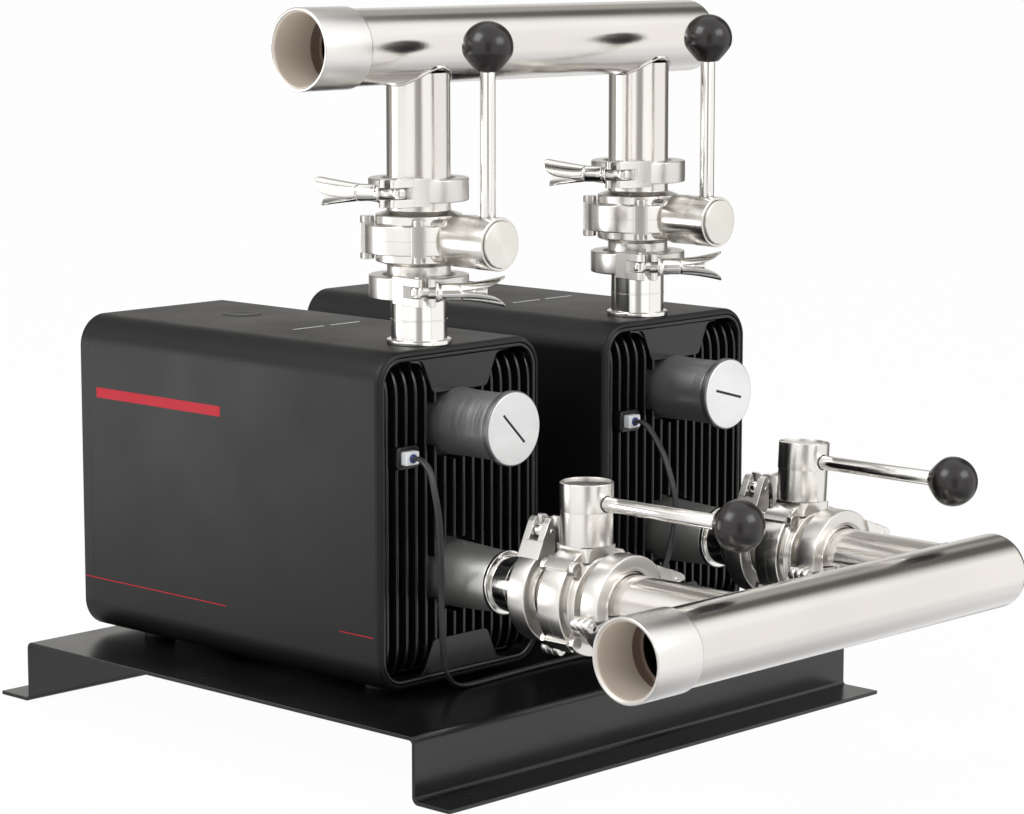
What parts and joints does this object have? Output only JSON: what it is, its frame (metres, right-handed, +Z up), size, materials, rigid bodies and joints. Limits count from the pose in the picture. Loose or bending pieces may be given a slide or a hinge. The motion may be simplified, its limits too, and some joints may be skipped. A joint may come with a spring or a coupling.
{
  "type": "booster pump",
  "caption": "Twin booster pump set: two ribbed electronic pump units on a bent steel base, with butterfly valves, clamped unions and two header manifolds.",
  "frame": {"origin": "on the floor, at the bottom centre of the bounding box", "axes": "+X across the two pumps from the sockets to the closed manifold ends, +Y from the suction side to the pumps' backs, +Z up"},
  "size_m": [0.526, 0.751, 0.5986],
  "materials": {
    "base_black": "semi-gloss powder coat",
    "housing_black": "satin moulded housing",
    "cover_black": "satin moulded cover",
    "rubber_black": "matt",
    "cap_silver": "brushed",
    "collar_grey": "satin dark grey",
    "cast_aluminium": "as cast",
    "machined_steel": "machined",
    "stage_steel": "pressed",
    "brass": "machined",
    "winding_copper": "lacquered windings and laminations",
    "tank_blue": "gloss",
    "board_green": "circuit board",
    "polished_steel": "polished sanitary stainless steel",
    "satin_steel": "brushed stainless steel",
    "socket_steel": "fine satin, bright",
    "knob_black": "glossy thermoset",
    "seat_rubber": "smooth",
    "plug_white": "moulded",
    "cable_black": "matt jacket"
  },
  "bodies": {
    "frame": {"base_plate": "base_black", "cable_plugs": "plug_white", "clamp_bolts": "machined_steel", "clamp_gaskets": "seat_rubber", "clamp_rings": "satin_steel", "data_sockets": "cover_black", "discharge_manifold": "polished_steel", "inverter_boards": "board_green", "left_discharge_valve_body": "polished_steel", "left_front_cover": "cover_black", "left_housing_sleeve": "housing_black", "left_rear_cover": "cover_black", "left_suction_valve_body": "polished_steel", "link_cable": "cable_black", "motor_shells": "cast_aluminium", "motor_stators": "winding_copper", "pipe_sockets": "socket_steel", "port_collars": "collar_grey", "pressure_tanks": "tank_blue", "pump_adapters": "polished_steel", "pump_casings": "cast_aluminium", "pump_feet": "rubber_black", "right_discharge_valve_body": "polished_steel", "right_front_cover": "cover_black", "right_housing_sleeve": "housing_black", "right_rear_cover": "cover_black", "right_suction_valve_body": "polished_steel", "shaft_bearings": "machined_steel", "shaft_seals": "rubber_black", "suction_manifold": "polished_steel", "valve_bolts": "machined_steel", "valve_seats": "seat_rubber"},
    "left_rotor": {"left_motor_rotor": "machined_steel", "left_impellers": "stage_steel"},
    "left_check": {"left_check_poppet": "brass"},
    "left_cap": {"left_priming_cap": "cap_silver"},
    "right_rotor": {"right_motor_rotor": "machined_steel", "right_impellers": "stage_steel"},
    "right_check": {"right_check_poppet": "brass"},
    "right_cap": {"right_priming_cap": "cap_silver"},
    "left_suction_lever": {"left_suction_valve_disc": "machined_steel", "left_suction_valve_handle": "satin_steel", "left_suction_handle_knob": "knob_black"},
    "left_suction_rear_nut": {"left_suction_rear_wing_nut": "polished_steel"},
    "left_suction_front_nut": {"left_suction_front_wing_nut": "polished_steel"},
    "left_discharge_lever": {"left_discharge_valve_disc": "machined_steel", "left_discharge_valve_handle": "satin_steel", "left_discharge_handle_knob": "knob_black"},
    "left_discharge_lower_nut": {"left_discharge_lower_wing_nut": "polished_steel"},
    "left_discharge_upper_nut": {"left_discharge_upper_wing_nut": "polished_steel"},
    "right_suction_lever": {"right_suction_valve_disc": "machined_steel", "right_suction_valve_handle": "satin_steel", "right_suction_handle_knob": "knob_black"},
    "right_suction_rear_nut": {"right_suction_rear_wing_nut": "polished_steel"},
    "right_suction_front_nut": {"right_suction_front_wing_nut": "polished_steel"},
    "right_discharge_lever": {"right_discharge_valve_disc": "machined_steel", "right_discharge_valve_handle": "satin_steel", "right_discharge_handle_knob": "knob_black"},
    "right_discharge_lower_nut": {"right_discharge_lower_wing_nut": "polished_steel"},
    "right_discharge_upper_nut": {"right_discharge_upper_wing_nut": "polished_steel"}
  },
  "joints": [
    {"name": "left_rotor_spin", "type": "hinge", "parent": "frame", "child": "left_rotor", "pos_m": [-0.118, 0.1015, 0.1443], "axis": [0, 1, 0], "continuous": true},
    {"name": "left_check_lift", "type": "slide", "parent": "frame", "child": "left_check", "axis": [0, 0, 1], "range_m": [0, 0.008]},
    {"name": "left_cap_turn", "type": "hinge", "parent": "frame", "child": "left_cap", "pos_m": [-0.118, -0.0939, 0.2686], "axis": [0, -1, 0], "continuous": true},
    {"name": "right_rotor_spin", "type": "hinge", "parent": "frame", "child": "right_rotor", "pos_m": [0.144, 0.1015, 0.1443], "axis": [0, 1, 0], "continuous": true},
    {"name": "right_check_lift", "type": "slide", "parent": "frame", "child": "right_check", "axis": [0, 0, 1], "range_m": [0, 0.008]},
    {"name": "right_cap_turn", "type": "hinge", "parent": "frame", "child": "right_cap", "pos_m": [0.144, -0.0939, 0.2686], "axis": [0, -1, 0], "continuous": true},
    {"name": "left_suction_valve_turn", "type": "hinge", "parent": "frame", "child": "left_suction_lever", "pos_m": [-0.118, -0.1785, 0.1443], "axis": [0, 0, -1], "range_deg": [0, 90]},
    {"name": "left_suction_rear_nut_turn", "type": "hinge", "parent": "frame", "child": "left_suction_rear_nut", "pos_m": [-0.11388, -0.14, 0.19586], "axis": [0.9962, 0, 0.0872], "continuous": true},
    {"name": "left_suction_front_nut_turn", "type": "hinge", "parent": "frame", "child": "left_suction_front_nut", "pos_m": [-0.06628, -0.217, 0.14469], "axis": [0.1736, 0, -0.9848], "continuous": true},
    {"name": "left_discharge_valve_turn", "type": "hinge", "parent": "frame", "child": "left_discharge_lever", "pos_m": [-0.1346, -0.0119, 0.4153], "axis": [0, 1, 0], "range_deg": [0, 90]},
    {"name": "left_discharge_lower_nut_turn", "type": "hinge", "parent": "frame", "child": "left_discharge_lower_nut", "pos_m": [-0.16079, -0.0565, 0.3768], "axis": [0.766, -0.6428, 0], "continuous": true},
    {"name": "left_discharge_upper_nut_turn", "type": "hinge", "parent": "frame", "child": "left_discharge_upper_nut", "pos_m": [-0.18511, -0.02303, 0.4538], "axis": [-0.3746, 0.9272, 0], "continuous": true},
    {"name": "right_suction_valve_turn", "type": "hinge", "parent": "frame", "child": "right_suction_lever", "pos_m": [0.144, -0.1785, 0.1443], "axis": [-0.061, 0, -0.9981], "range_deg": [0, 90]},
    {"name": "right_suction_rear_nut_turn", "type": "hinge", "parent": "frame", "child": "right_suction_rear_nut", "pos_m": [0.14812, -0.14, 0.19586], "axis": [0.9962, 0, 0.0872], "continuous": true},
    {"name": "right_suction_front_nut_turn", "type": "hinge", "parent": "frame", "child": "right_suction_front_nut", "pos_m": [0.19572, -0.217, 0.14469], "axis": [0.1736, 0, -0.9848], "continuous": true},
    {"name": "right_discharge_valve_turn", "type": "hinge", "parent": "frame", "child": "right_discharge_lever", "pos_m": [0.1274, -0.0119, 0.4153], "axis": [0, 1, 0], "range_deg": [0, 90]},
    {"name": "right_discharge_lower_nut_turn", "type": "hinge", "parent": "frame", "child": "right_discharge_lower_nut", "pos_m": [0.10121, -0.0565, 0.3768], "axis": [0.766, -0.6428, 0], "continuous": true},
    {"name": "right_discharge_upper_nut_turn", "type": "hinge", "parent": "frame", "child": "right_discharge_upper_nut", "pos_m": [0.07689, -0.02303, 0.4538], "axis": [-0.3746, 0.9272, 0], "continuous": true}
  ]
}
